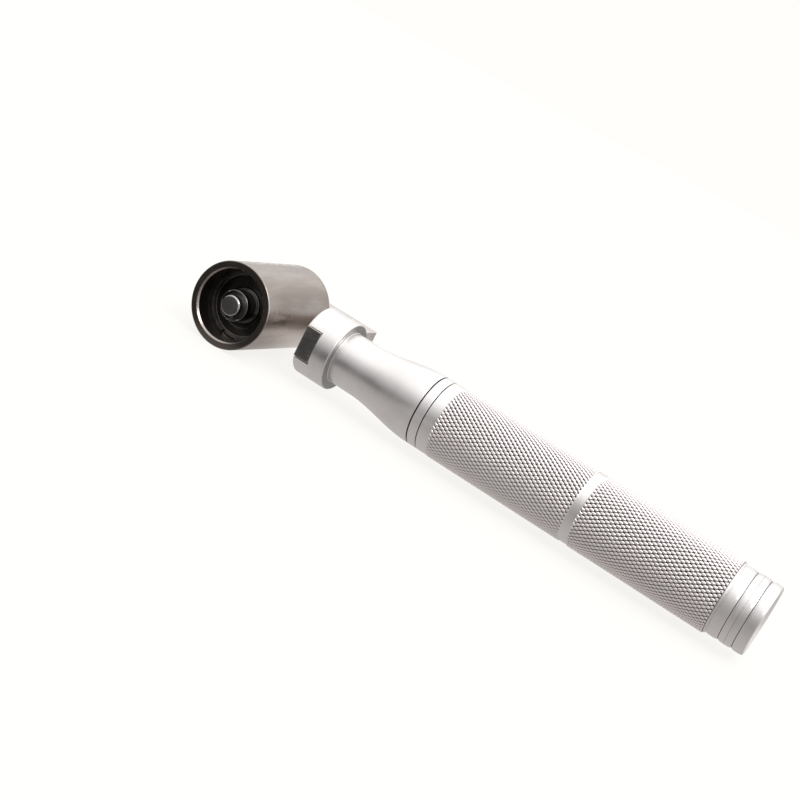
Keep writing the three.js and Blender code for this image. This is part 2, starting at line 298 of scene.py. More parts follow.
def cut_from(name, base, *cutters):
    """A mesh with others cut out of it."""
    obj = bpy.data.objects.new(name, base)
    bpy.context.scene.collection.objects.link(obj)
    for mesh in cutters:
        cutter = bpy.data.objects.new("cutter", mesh)
        bpy.context.scene.collection.objects.link(cutter)
        step = obj.modifiers.new("boolean", "BOOLEAN")
        step.object = cutter
        step.operation = "DIFFERENCE"
        step.solver = "EXACT"
        depsgraph = bpy.context.evaluated_depsgraph_get()
        made = bpy.data.meshes.new_from_object(obj.evaluated_get(depsgraph))
        obj.modifiers.clear()
        obj.data = made
        bpy.data.objects.remove(cutter)
    bm = bmesh.new()
    bm.from_mesh(obj.data)
    bpy.data.objects.remove(obj)
    bmesh.ops.scale(bm, vec=(1 / MM, 1 / MM, 1 / MM), verts=bm.verts)
    bmesh.ops.remove_doubles(bm, verts=bm.verts, dist=2e-3)
    bmesh.ops.dissolve_degenerate(bm, edges=bm.edges, dist=1e-3)
    return to_mesh(bm, name)


# ---- node helpers -----------------------------------------------------------------------


class Shader:
    """Short-hand for building a node tree."""

    def __init__(self, tree):
        self.tree = tree

    def add(self, kind, inputs=None, **properties):
        node = self.tree.nodes.new("ShaderNode" + kind)
        for key, value in properties.items():
            setattr(node, key, value)
        for key, value in (inputs or {}).items():
            if isinstance(value, bpy.types.NodeSocket):
                self.link(value, node.inputs[key])
            else:
                node.inputs[key].default_value = value
        return node

    def link(self, value, socket):
        self.tree.links.new(value, socket)

    def math(self, operation, a, b=0.0):
        return self.add("Math", {0: a, 1: b}, operation=operation).outputs[0]

    def product(self, *factors):
        """Values multiplied together."""
        total = factors[0]
        for factor in factors[1:]:
            total = self.math("MULTIPLY", total, factor)
        return total

    def mean(self, a, b):
        """The mean of two values."""
        return self.math("ADD", self.math("MULTIPLY", a, 0.5), self.math("MULTIPLY", b, 0.5))

    def span(self, value, low, high, to_low=0.0, to_high=1.0):
        """A smooth step from one result to the other between two values."""
        inputs = {
            "Value": value, "From Min": low, "From Max": high, "To Min": to_low, "To Max": to_high,
        }
        return self.add("MapRange", inputs, interpolation_type="SMOOTHSTEP").outputs["Result"]

    def span_mm(self, value, low, high):
        """A smooth step from 0 to 1 between two lengths in millimetres."""
        return self.span(value, low * MM, high * MM)

    def mix(self, factor, a, b):
        node = self.add("Mix", data_type="RGBA")
        for key, value in ((0, factor), (6, a), (7, b)):
            if isinstance(value, bpy.types.NodeSocket):
                self.link(value, node.inputs[key])
            else:
                node.inputs[key].default_value = value
        return node.outputs[2]

    def noise(self, vector, scale, detail=2.0, roughness=0.5):
        inputs = {"Vector": vector, "Scale": scale, "Detail": detail, "Roughness": roughness}
        return self.add("TexNoise", inputs).outputs["Fac"]

    def scaled(self, vector, scale):
        return self.add("Mapping", {"Vector": vector, "Scale": scale}).outputs["Vector"]


def grey(value, warm=0.0):
    """A grey, warmer or cooler by a share of itself."""
    return (value * (1 + warm), value, value * (1 - warm), 1)


# ---- materials --------------------------------------------------------------------------

# Grime and painted shade at the bottom of grooves.
GRIME_AND_SHADE = (0.05, 0.045, 0.042, 1)
# Dirt and painted shade in the knurl's grooves and pits.
KNURL_DIRT_AND_SHADE = (0.02, 0.01, 0.01, 1)
# Painted shade inside the roller's recess.
BORE_SHADE = (0.10, 0.085, 0.075, 1)
# Rubbed wear and painted highlight on rims.
RIM_WEAR_AND_HIGHLIGHT = (0.9, 0.88, 0.87, 1)
# Painted shade on the bar's end face.
END_SHADE_STEEL = grey(0.45, 0.02)
# Painted shade on the roller's open end face and on the head's back shoulder.
END_FACE_SHADE = (0.17, 0.15, 0.135, 1)
SHADED_ALUMINIUM = grey(0.40, 0.02)
PALE_ALUMINIUM = (0.84, 0.82, 0.815, 1)
BRIGHT_ALUMINIUM = (0.89, 0.87, 0.865, 1)
KNURL_CRESTS = (0.99, 0.955, 0.95, 1)
# Painted shade, pinkish, on the knurl's walls.
KNURL_WALL_SHADE = (0.88, 0.76, 0.77, 1)

CREST_SPAN = (12.54, 12.84)  # radii over which the knurl's dirt and painted shade give way to clean metal
WALL_SPAN = (12.9, 12.65)  # radii over which its crests give way to walls darkened by painted shade

CLOUD_SCALE = 90  # noise scales, for coordinates in metres
GRAIN_SCALE = 5200
STREAK_SCALE = 900
CLOUD_EDGES = (0.35, 0.65)  # the stretch of a cloud over which one tone turns into the other
TOOL_RELIEF = 1e-5
BLAST_RELIEF = 1.6e-5


def metal_base(name, metallic):
    """A metal material: its node helper, its shader and the coordinates on the piece, in metres."""
    material = bpy.data.materials.new(name)
    material.use_nodes = True
    shader = Shader(material.node_tree)
    surface = material.node_tree.nodes["Principled BSDF"].inputs
    surface["Metallic"].default_value = metallic
    here = shader.add("TexCoord").outputs["Object"]
    return material, shader, surface, here


def radial(shader, here, axis):
    """Distance along a turned piece's axis and distance from it, in metres."""
    x, y, z = shader.add("SeparateXYZ", {0: here}).outputs
    height, across = (x, y) if axis == "X" else (y, x)
    squares = shader.math("ADD", shader.product(across, across), shader.product(z, z))
    return height, shader.math("SQRT", squares)


def distance_from(shader, height, place):
    """How far a place on the piece is from a plane across its axis, in metres."""
    return shader.math("ABSOLUTE", shader.math("SUBTRACT", height, place * MM))


def groove_grime_and_shade(shader, height, radius, grooves):
    """1 inside the grooves, each given by its place, its half width and the radius where it begins. The
    grooves are darkened there by grime and painted shade.
    """
    total = 0.0
    for place, half, begin in grooves:
        away = distance_from(shader, height, place)
        near = shader.span_mm(away, half, half * 0.7)
        deep = shader.span_mm(radius, begin, begin - 0.12)
        total = shader.math("MAXIMUM", shader.product(near, deep), total)
    return total


def rim_wear_and_highlight(shader, most):
    """Where a rim has been rubbed and a painted highlight lies on it: 0 on a flat face, and `most` on a
    sharp edge.
    """
    pointed = shader.add("NewGeometry").outputs["Pointiness"]
    flat_face, sharp_edge = 0.505, 0.60
    return shader.span(pointed, flat_face, sharp_edge, 0.0, most)


def set_roughness(shader, surface, pattern, roughness, spread):
    rough = shader.span(pattern, *CLOUD_EDGES, roughness - spread, roughness + spread)
    shader.link(rough, surface["Roughness"])


def set_bump(shader, surface, height, distance):
    bump = shader.add("Bump", {"Height": height, "Strength": 1.0, "Distance": distance})
    shader.link(bump.outputs[0], surface["Normal"])


def turned_metal(
    name, axis, colour, other, roughness, spread,
    rings=0.0, grain=0.0, anisotropy=0.0, grooves=(), streak=(1, 1, 1), bore=0.0, wear_and_highlight=0.0,
    metallic=1.0, shaded_faces=(),
):
    """Machined metal: fine rings from the tool, a slow change of tone, and a grain. Where asked it adds
    grime and painted shade in grooves, painted shade in the bore and on given faces, and rubbed wear
    with painted highlight on rims.
    """
    material, shader, surface, here = metal_base(name, metallic)
    height, radius = radial(shader, here, axis)
    around = shader.add("CombineXYZ", {0: height, 1: radius, 2: 0.0}).outputs[0]
    lathe = shader.noise(around, GRAIN_SCALE, 3, 0.7)
    cloud = shader.noise(shader.scaled(here, streak), CLOUD_SCALE, 3, 0.6)
    fine = shader.noise(here, GRAIN_SCALE, 2, 0.5)
    tone = shader.mix(shader.span(cloud, *CLOUD_EDGES), colour, other)
    if grooves:
        # Grooves darkened by grime and painted shade.
        tone = shader.mix(groove_grime_and_shade(shader, height, radius, grooves), tone, GRIME_AND_SHADE)
    # Rims lighter: rubbed wear and painted highlight.
    if wear_and_highlight:
        tone = shader.mix(rim_wear_and_highlight(shader, wear_and_highlight), tone, RIM_WEAR_AND_HIGHLIGHT)
    # Painted shade: a darker tone on given faces across the axis.
    for face, face_shade in shaded_faces:
        on_face = shader.span_mm(distance_from(shader, height, face), 0.2, 0.05)
        tone = shader.mix(on_face, tone, face_shade)
    # Painted shade: inside the bore the steel is darkened.
    if bore:
        tone = shader.mix(shader.span_mm(radius, bore + 0.1, bore), tone, BORE_SHADE)
    shader.link(tone, surface["Base Color"])
    set_roughness(shader, surface, shader.mean(lathe, cloud), roughness, spread)
    relief = shader.math("ADD", shader.product(lathe, rings), shader.product(fine, grain))
    set_bump(shader, surface, relief, TOOL_RELIEF)
    if anisotropy:
        surface["Anisotropic"].default_value = anisotropy
        tangent = shader.add("Tangent", direction_type="RADIAL", axis=axis)
        shader.link(tangent.outputs[0], surface["Tangent"])
    return material


def plain_metal(
    name, colour, other, roughness, spread, scale, relief,
    stretch=(1, 1, 1), metallic=1.0, shaded_end=None,
):
    """Polished or rolled metal with smears, fine scratches and a slow change of tone, and, where asked,
    painted shade on an end face.
    """
    material, shader, surface, here = metal_base(name, metallic)
    cloud = shader.noise(here, scale, 4, 0.6)
    streak = shader.noise(shader.scaled(here, stretch), STREAK_SCALE, 3, 0.6)
    tone = shader.mix(shader.span(cloud, *CLOUD_EDGES), colour, other)
    # Painted shade: the bar's end face is darker and fully metallic.
    if shaded_end is not None:
        across = shader.add("SeparateXYZ", {0: here}).outputs[1]
        on_end = shader.span_mm(across, shaded_end + 0.04, shaded_end + 0.01)
        tone = shader.mix(on_end, tone, END_SHADE_STEEL)
        shader.link(shader.span(on_end, 0.0, 1.0, metallic, 1.0), surface["Metallic"])
    shader.link(tone, surface["Base Color"])
    set_roughness(shader, surface, shader.mean(cloud, streak), roughness, spread)
    set_bump(shader, surface, streak, relief)
    return material


def knurled_aluminium():
    """The grip's aluminium: rubbed bright on the knurl's crests, darkened by painted shade on its walls,
    and by dirt and painted shade in its grooves and pits.
    """
    material, shader, surface, here = metal_base("handle_aluminium_knurled", 1.0)
    height, radius = radial(shader, here, "X")
    past_collar = shader.span_mm(height, KNURL_1[0] + 0.1, KNURL_1[0] + 0.7)
    smooth_band = shader.product(
        shader.span_mm(height, KNURL_1[1] - 0.3, KNURL_1[1] + 0.2),
        shader.span_mm(height, KNURL_2[0] + 0.4, KNURL_2[0] - 0.1),
    )
    knurl = shader.product(past_collar, shader.math("SUBTRACT", 1.0, smooth_band))
    crest = shader.span_mm(radius, *CREST_SPAN)
    # Dirt and painted shade: the knurl is darker towards its grooves and pits.
    pit_dirt_and_shade = shader.product(shader.math("SUBTRACT", 1.0, crest), knurl)
    # Painted shade on the knurl's walls.
    wall_shade = shader.product(shader.span_mm(radius, *WALL_SPAN), knurl)
    cloud = shader.noise(here, CLOUD_SCALE, 3, 0.6)
    tone = shader.mix(shader.span(cloud, *CLOUD_EDGES), PALE_ALUMINIUM, BRIGHT_ALUMINIUM)
    for share, colour in ((knurl, KNURL_CRESTS), (wall_shade, KNURL_WALL_SHADE), (pit_dirt_and_shade, KNURL_DIRT_AND_SHADE)):
        tone = shader.mix(share, tone, colour)
    shader.link(tone, surface["Base Color"])
    clear = shader.math("SUBTRACT", knurl, pit_dirt_and_shade)
    shader.link(shader.span(clear, 0.0, 1.0, 1.0, 0.8), surface["Metallic"])
    rough = shader.math("ADD", cloud, shader.product(pit_dirt_and_shade, 0.3))
    shader.link(shader.span(rough, 0.3, 0.9, 0.3, 0.45), surface["Roughness"])
    set_bump(shader, surface, shader.noise(here, GRAIN_SCALE, 2, 0.5), BLAST_RELIEF)
    return material


# The roller's open end face has painted shade; its end on the arm's side has none.
roller_steel = turned_metal(
    "roller_steel_ground", "Y", (0.36, 0.31, 0.28, 1), (0.46, 0.41, 0.38, 1), 0.25, 0.06,
    rings=0.25, grain=0.05, anisotropy=0.3, streak=(1.6, 0.35, 1.6), bore=RECESS_RADIUS + 0.05, wear_and_highlight=0.6,
    metallic=0.96, shaded_faces=((-ROLLER_END, END_FACE_SHADE),),
)
bearing_steel = turned_metal(
    "bearing_steel_ground", "Y", grey(0.22, 0.05), grey(0.30, 0.04), 0.2, 0.06, rings=0.3,
)
shield_steel = turned_metal(
    "shield_steel_black", "Y", grey(0.045, 0.1), grey(0.08, 0.08), 0.24, 0.06, rings=0.3,
)
sleeve_steel = turned_metal(
    "sleeve_steel_dark", "Y", grey(0.15, 0.06), grey(0.2, 0.05), 0.18, 0.05, rings=0.3, wear_and_highlight=1.0,
)
axle_steel = turned_metal(
    "axle_steel_turned", "Y", grey(0.46, 0.04), grey(0.55, 0.03), 0.16, 0.05, rings=0.3, wear_and_highlight=0.8,
)
spring_steel = plain_metal(
    "spring_steel_black", grey(0.10, 0.06), grey(0.16, 0.05), 0.35, 0.08, 300, 2e-6,
)
fastener_steel = plain_metal(
    "fastener_steel", grey(0.42, 0.06), grey(0.52, 0.05), 0.22, 0.07, 400, 2e-6,
)
bar_steel = plain_metal(
    "bar_steel_satin", (0.66, 0.60, 0.57, 1), (0.72, 0.66, 0.63, 1), 0.26, 0.05, 120, 5e-7,
    stretch=(0.2, 1, 1), metallic=0.6, shaded_end=LEG_END,
)
# The head's back shoulder has painted shade.
aluminium = turned_metal(
    "handle_aluminium_blasted", "X", PALE_ALUMINIUM, BRIGHT_ALUMINIUM, 0.36, 0.04,
    rings=0.4, grain=1.6, shaded_faces=((HEAD_HIGH, SHADED_ALUMINIUM),),
    grooves=(
        (NECK_GROOVE, 0.32, SHOULDER_RADIUS - 0.05),
        *((place, 0.2, CAP_RADIUS - 0.2) for place in CAP_GROOVES),
        (CAP_LINE, 0.1, CAP_RADIUS + 0.09),
    ),
)
grip_aluminium = knurled_aluminium()

# ---- placing a piece --------------------------------------------------------------------


def place_piece(node, mesh, body, slot, material):
    """Links a finished mesh, which stands for one CAD node and moves with that node's body."""
    obj = bpy.data.objects.new(node + "_fine", mesh)
    bpy.context.scene.collection.objects.link(obj)
    obj.location = ORIGIN
    mesh.materials.clear()
    mesh.materials.append(material)
    weighted = obj.modifiers.new("weighted_normals", "WEIGHTED_NORMAL")
    weighted.keep_sharp = True
    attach(obj, body)
    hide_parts(node)
    return obj


HELD = "handle_and_bracket"
ROLLER = "roller"

# ---- roller -----------------------------------------------------------------------------


def drum_outline():
    """Half of the drum's outline from the middle shoulder out to its rim, then mirrored."""
    half = [
        (SEAT_BORE, SEAT_STOP, 0.2),
        (BEARING_SEAT, SEAT_STOP),
        (BEARING_SEAT, GROOVE_LOW),
        (BORE_GROOVE, GROOVE_LOW),
        (BORE_GROOVE, GROOVE_HIGH),
        (RECESS_RADIUS, GROOVE_HIGH, 0.08),
        (RECESS_RADIUS, ROLLER_END - 0.75, 0.5),
        (MOUTH_RADIUS, ROLLER_END, 0.22),
        (ROLLER_RADIUS, ROLLER_END, 0.45),
    ]
    lower = [(c[0], -c[1], *c[2:]) for c in half]
    return rounded(lower + half[::-1])


drum = turned("drum", drum_outline(), 256, along_y)
place_piece("roller_drum", drum, ROLLER, "roller_steel", roller_steel)


def race(side, shoulder):
    """The raceway's arc across a bearing ring, away from (+1) or near to (-1) the axis."""
    half = math.acos(abs(shoulder - BALL_PITCH) / RACE_RADIUS)
    steps = 12
    points = []
    for i in range(steps + 1):
        a = -half + 2 * half * i / steps
        points.append((BALL_PITCH + side * RACE_RADIUS * math.cos(a), RACE_RADIUS * math.sin(a)))
    return points


def raised(outline, height):
    """An outline moved along its axis."""
    return [(c[0], c[1] + height, *c[2:]) for c in outline]


def outer_ring_outline():
    """A bearing's outer ring, with a step at each face for its shield."""
    seat = SHIELD_RADIUS + 0.08
    step = SHIELD_FACE - SHIELD_SHEET - 0.1
    return rounded([
        (seat, -BEARING_HALF, 0.12),
        (BEARING_RADIUS, -BEARING_HALF, 0.4),
        (BEARING_RADIUS, BEARING_HALF, 0.4),
        (seat, BEARING_HALF, 0.12),
        (seat, step),
        (OUTER_SHOULDER, step, 0.1),
        *race(1, OUTER_SHOULDER)[::-1],
        (OUTER_SHOULDER, -step, 0.1),
        (seat, -step),
    ])


def inner_ring_outline():
    """A bearing's inner ring, between plain shoulders."""
    return rounded([
        (BEARING_BORE, -BEARING_HALF, 0.3),
        (INNER_SHOULDER, -BEARING_HALF, 0.15),
        *race(-1, INNER_SHOULDER),
        (INNER_SHOULDER, BEARING_HALF, 0.15),
        (BEARING_BORE, BEARING_HALF, 0.3),
    ])


def shield_outline(side):
    """A pressed shield: flat at its rim, stepped down a little towards the inner ring."""
    low, high = sorted((side * SHIELD_FACE, side * (SHIELD_FACE - SHIELD_SHEET)))
    step = -0.12 * side
    bore = INNER_SHOULDER + 0.25
    bend_low, bend_high = 7.6, 8.1
    return rounded([
        (bore, low + step, 0.05),
        (bend_low, low + step, 0.3),
        (bend_high, low, 0.3),
        (SHIELD_RADIUS, low, 0.05),
        (SHIELD_RADIUS, high, 0.15),
        (bend_high, high, 0.3),
        (bend_low, high + step, 0.3),
        (bore, high + step, 0.05),
    ])


def split_ring(name, inner, outer, half_gap, low, width):
    """A flat ring with a gap at the bottom, half_gap degrees to each side."""
    gap = math.radians(half_gap)
    count = 160
    span = [gap + (TAU - 2 * gap) * k / count - TAU / 4 for k in range(count + 1)]
    outline = [(outer * math.cos(a), outer * math.sin(a)) for a in span]
    outline += [(inner * math.cos(a), inner * math.sin(a)) for a in reversed(span)]
    bm = bmesh.new()
    plate(bm, outline, low, low + width, 0.12, lambda x, z, y: Vector((x, y, z)))
    return to_mesh(bm, name)


def ball_outline(steps=16):
    """A half circle from pole to pole."""
    return [
        (BALL_RADIUS * math.sin(math.pi * k / steps) if 0 < k < steps else 0,
         -BALL_RADIUS * math.cos(math.pi * k / steps))
        for k in range(steps + 1)
    ]


def add_bearing(prefix, side):
    """A bearing and the ring that keeps it in the drum, on the arm's side (+1) or the open side (-1)."""
    centre = side * (BEARING_INNER + BEARING_OUTER) / 2
    set_body = prefix + "_ball_set"
    steel = ("bearing_steel", bearing_steel)
    outer = turned("outer", raised(outer_ring_outline(), centre), 160, along_y)
    inner = turned("inner", raised(inner_ring_outline(), centre), 96, along_y)
    place_piece(prefix + "_bearing_outer_ring", outer, ROLLER, *steel)
    place_piece(prefix + "_bearing_inner_ring", inner, HELD, *steel)
    for face, way in (("front", side), ("back", -side)):
        shield = turned("shield", raised(shield_outline(way), centre), 128, along_y)
        place_piece(f"{prefix}_bearing_{face}_shield", shield, ROLLER, "bearing_steel", shield_steel)
    for i in range(BALLS):
        angle = TAU * i / BALLS * side + (0 if side > 0 else math.pi)
        shift = Vector((BALL_PITCH * math.cos(angle), centre, BALL_PITCH * math.sin(angle)))
        ball = turned("ball", ball_outline(), 32, along_y)
        ball.transform(Matrix.Translation(shift * MM))
        place_piece(f"{prefix}_bearing_ball_{i + 1}", ball, set_body, *steel)
    low = BORE_RING_LOW if side > 0 else -BORE_RING_LOW - BORE_RING_WIDTH
    rim = BORE_GROOVE - 0.06
    ring = split_ring("bore_ring", rim - 1.5, rim, 14, low, BORE_RING_WIDTH)
    place_piece(prefix + "_bore_retaining_ring", ring, ROLLER, "spring_steel", spring_steel)


add_bearing("open_side", -1)
add_bearing("arm_side", 1)

# ---- axle -------------------------------------------------------------------------------


def axle_mesh():
    """The axle from its bevelled tip to its stud, which has an M8 thread."""
    thread_high = STUD_END - 0.5
    rows, segments = 56, 96
    groove_low, groove_high = TIP_GROOVE
    flange_low, flange_high = FLANGE
    outline = rounded([
        (0, AXLE_TIP),
        (TIP_RADIUS, AXLE_TIP, 0.8),
        (TIP_RADIUS, groove_low, 0.05),
        (TIP_RADIUS - TIP_GROOVE_DEPTH, groove_low),
        (TIP_RADIUS - TIP_GROOVE_DEPTH, groove_high),
        (AXLE_RADIUS, groove_high),
        (AXLE_RADIUS, flange_low),
        (FLANGE_RADIUS, flange_low, 0.3),
        (FLANGE_RADIUS, flange_high, 0.3),
        (STUD_RADIUS, flange_high),
        (STUD_RADIUS, THREAD_LOW),
    ], closed=False, steps=7)
    turn = (thread_high - THREAD_LOW) / rows
    outline += [(STUD_RADIUS, THREAD_LOW + turn * k) for k in range(1, rows + 1)]
    outline += [(STUD_RADIUS - 0.5, STUD_END), (0, STUD_END)]

    def thread_cut(height, k):
        """How deep the thread is cut at a height, a share k of a turn round the stud."""
        phase = (height / THREAD_PITCH - k) % 1
        return THREAD_DEPTH * max(0, 1 - abs(phase - 0.5) * 2.4) * min(1, (height - THREAD_LOW) / 0.5)

    rings = []
    for radius, height in outline:
        if radius < 1e-6:
            rings.append([along_y(0, height, 0)])
            continue
        threaded = height > THREAD_LOW
        ring = []
        for k in range(segments):
            cut = thread_cut(height, k / segments) if threaded else 0
            reach = min(radius, STUD_RADIUS - cut) if cut else radius
            ring.append(along_y(reach, height, TAU * k / segments))
        rings.append(ring)
    bm = bmesh.new()
    loft(bm, rings)
    return to_mesh(bm, "axle", sharp=50)


def sleeve_outline():
    """A sleeve with a counterbore at its outer end, where the axle's ring sits."""
    counterbore = COLLAR_RADIUS - SLEEVE_WALL
    return rounded([
        (SLEEVE_BORE, SLEEVE_FLOOR),
        (counterbore, SLEEVE_FLOOR, 0.1),
        (counterbore, SLEEVE_RIM, 0.2),
        (COLLAR_RADIUS, SLEEVE_RIM, 0.5),
        (COLLAR_RADIUS, SLEEVE_INNER_END, 0.15),
        (SLEEVE_BORE, SLEEVE_INNER_END),
    ])


def nut_mesh():
    """A hexagon nut with its corners turned off and its bore countersunk."""
    segments = 144
    angles = [TAU * k / segments for k in range(segments)]
    flat = NUT_FLATS / 2 - 0.1
    slope = math.tan(math.radians(30))
    rim = [hexagon(NUT_FLATS, a + TAU / 12) for a in angles]

    def ring(radius_at, height_at):
        """A ring whose radius and height depend on the hexagon's radius in each direction."""
        return [along_y(radius_at(r), NUT_LOW + height_at(r), a) for r, a in zip(rim, angles)]

    def face(side):
        """The rings of one face, from its countersink out to the hexagon's side: 0 low, 1 high."""
        def level(rise):
            return NUT_HEIGHT - rise if side else rise
        return [
            ring(lambda r: AXLE_RADIUS, lambda r: level(0.5)),
            ring(lambda r: AXLE_RADIUS + 0.5, lambda r: level(0)),
            ring(lambda r: flat - 0.05, lambda r: level(0)),
            ring(lambda r: flat, lambda r: level(0.02)),
            ring(lambda r: r - 0.04, lambda r: level((r - flat) * slope)),
            ring(lambda r: r, lambda r: level((r - flat) * slope + 0.06)),
        ]

    bm = bmesh.new()
    loft(bm, face(0) + face(1)[::-1], closed=True)
    return to_mesh(bm, "nut", sharp=24)


def tube_piece(node, outer, low, high):
    """A plain sleeve on the axle."""
    mesh = turned(node, tube(SLEEVE_BORE, outer, low, high, 0.15), 96, along_y)
    place_piece(node, mesh, HELD, "axle_steel", axle_steel)


place_piece("axle", axle_mesh(), HELD, "axle_steel", axle_steel)
sleeve = turned("sleeve", sleeve_outline(), 96, along_y)
place_piece("open_side_sleeve", sleeve, HELD, "axle_steel", sleeve_steel)
tube_piece("inner_ring_spacer", INNER_SHOULDER - 0.5, -SEAT_STOP, SEAT_STOP)
tube_piece("arm_side_sleeve", COLLAR_RADIUS, *ARM_SLEEVE)
tip_ring = split_ring(
    "tip_ring", TIP_RADIUS - TIP_GROOVE_DEPTH + 0.05, COLLAR_RADIUS - SLEEVE_WALL - 0.15, 18,
    TIP_GROOVE[0] + 0.05, TIP_GROOVE[1] - TIP_GROOVE[0] - 0.05,
)
place_piece("axle_tip_retaining_ring", tip_ring, HELD, "spring_steel", spring_steel)
place_piece("axle_nut", nut_mesh(), HELD, "fastener_steel", fastener_steel)

# ---- bracket ----------------------------------------------------------------------------


def bracket_mesh():
    """The L-shaped flat bar: an arm beside the roller, and a leg in the head's slot."""
    bevel = 0.28
    outline = rounded([
        (ARM_END, ARM_LOW, bevel),
        (LEG_LOW, ARM_LOW),
        (LEG_LOW, LEG_END, bevel),
        (LEG_HIGH, LEG_END, bevel),
        (LEG_HIGH, ARM_HIGH, bevel),
        (ARM_END, ARM_HIGH, bevel),
    ], steps=3)
    bar = bmesh.new()
    plate(bar, outline, -BAR_HALF, BAR_HALF, bevel, lambda x, y, z: Vector((x, y, z)))
    axle_hole = turned("axle_hole", drill(AXLE_HOLE_RADIUS, 26, 34), 64, along_y)
    screw_hole = turned("screw_hole", drill(SCREW_HOLE_RADIUS, 22, 31), 48, along_x)
    return cut_from("bracket", to_mesh(bar, "bar"), axle_hole, screw_hole)


place_piece("bracket", bracket_mesh(), HELD, "bar_steel", bar_steel)

# ---- handle -----------------------------------------------------------------------------


def screw_mesh():
    """A button-head screw with a hexagon socket; its shank is in the neck."""
    radius, height = SCREW_HEAD_RADIUS, SCREW_HEAD_HEIGHT
    segments = 96
    angles = [TAU * k / segments for k in range(segments)]
    dome = (radius ** 2 + height ** 2) / (2 * height)
    top = SCREW_SEAT - height
    floor = top + SOCKET_DEPTH
    end = SCREW_SEAT + SCREW_LENGTH

    def circle_ring(r, x):
        return [along_x(r, x, a) for a in angles]

    def socket_ring(share, x):
        return [along_x(hexagon(SOCKET_FLATS, a) * share, x, a) for a in angles]

    def dome_ring(share):
        """From the socket's hexagon (0) out to the head's rim (1), on the dome."""
        ring = []
        for a in angles:
            inner = hexagon(SOCKET_FLATS, a) + 0.15
            r = inner + (radius - 0.1 - inner) * share
            ring.append(along_x(r, top + dome - math.sqrt(dome * dome - r * r), a))
        return ring

    rings = [
        [along_x(0, floor + 0.8, 0)],
        socket_ring(0.8, floor + 0.15),
        socket_ring(1.0, floor),
        socket_ring(1.0, top + 0.42),
        *[dome_ring(k / 10) for k in range(11)],
        circle_ring(radius, SCREW_SEAT - 0.15),
        circle_ring(radius - 0.08, SCREW_SEAT),
        circle_ring(SCREW_RADIUS + 0.1, SCREW_SEAT),
        circle_ring(SCREW_RADIUS, SCREW_SEAT + 0.2),
        circle_ring(SCREW_RADIUS, end - 0.8),
        circle_ring(SCREW_RADIUS - 0.8, end),
        [along_x(0, end, 0)],
    ]
    bm = bmesh.new()
    loft(bm, rings)
    return to_mesh(bm, "screw")


def groove(radius, centre, width=0.5, depth=0.5):
    """The corners of a square groove with slightly leaning walls."""
    half = width / 2
    return [
        (radius, centre - half, 0.12),
        (radius - depth, centre - half + 0.1, 0.05),
        (radius - depth, centre + half - 0.1, 0.05),
        (radius, centre + half, 0.12),
    ]


def neck_mesh():
    """The neck: a slotted and tapped head, a long flare, a grooved collar and a spigot."""
    flare = []
    steps = 36
    for i in range(steps + 1):
        ease = (1 - math.cos(math.pi * i / steps)) / 2
        flare.append((
            NECK_RADIUS + (SHOULDER_RADIUS - NECK_RADIUS) * ease,
            FLARE_LOW + (FLARE_HIGH - FLARE_LOW) * i / steps,
        ))
    outline = rounded([
        (0, HEAD_LOW),
        (HEAD_RADIUS, HEAD_LOW, 0.6),
        (HEAD_RADIUS, HEAD_HIGH, 0.6),
        (NECK_RADIUS, HEAD_HIGH, 0.35),
        *flare,
        *groove(SHOULDER_RADIUS, NECK_GROOVE),
        (SHOULDER_RADIUS, NECK_END, 0.2),
        (SPIGOT_RADIUS, NECK_END, 0.1),
        (SPIGOT_RADIUS, NECK_END + SPIGOT_LENGTH, 0.5),
        (0, NECK_END + SPIGOT_LENGTH),
    ], closed=False)
    wall, floor, lip = BAR_HALF + SLOT_GAP, LEG_HIGH + SLOT_GAP, 0.25
    outside = HEAD_LOW - 2
    section = rounded([
        (outside, -wall - 2 - lip),
        (HEAD_LOW + lip, -wall, 0.2),
        (floor, -wall, 0.3),
        (floor, wall, 0.3),
        (HEAD_LOW + lip, wall, 0.2),
        (outside, wall + 2 + lip),
    ])
    slot = prism("slot", section, -20, 20)
    hole = turned("tapping", drill(TAPPED_RADIUS, HEAD_LOW - 1, TAPPED_END, point=1.5), 64, along_x)
    return cut_from("neck", turned("neck", outline, 240, along_x), slot, hole)


STARTS = 56  # diamonds round the grip
KNURL_ROWS = (41, 40)
PIT_RADIUS = 12.40  # where two grooves cross
GROOVES = ((12.60, 12.76), (12.70, 12.62))  # each stretch's two families, half-way between pits
BLOB_RADIUS = 12.89  # round the raised blob in each diamond
BLOB_SHARE = 0.21  # of a diamond's width, from its groove to its blob
KNURL_RUN = 0.35  # from each end of a stretch to its first row
CUT = (PIT_RADIUS, BLOB_RADIUS, CREST_RADIUS, BLOB_RADIUS)


def knurl_point(radius, u, height):
    """A point at u diamonds round the grip."""
    return along_x(radius, height, TAU * u / STARTS)


def knurl_ring(height, shift, radii=CUT):
    """One ring of points where a row of diamonds is cut: groove, blob, crest, blob, groove..."""
    parts = (0, BLOB_SHARE, 0.5, 1 - BLOB_SHARE)
    return [
        knurl_point(radius, m + part + shift, height)
        for m in range(STARTS)
        for part, radius in zip(parts, radii)
    ]


def smooth_rings(outline, shift):
    """Plain turned rings with the same points round them as a row of diamonds has."""
    return [
        knurl_ring(height, shift, (radius,) * 4) if radius > 1e-6 else [along_x(0, height, 0)]
        for radius, height in outline
    ]


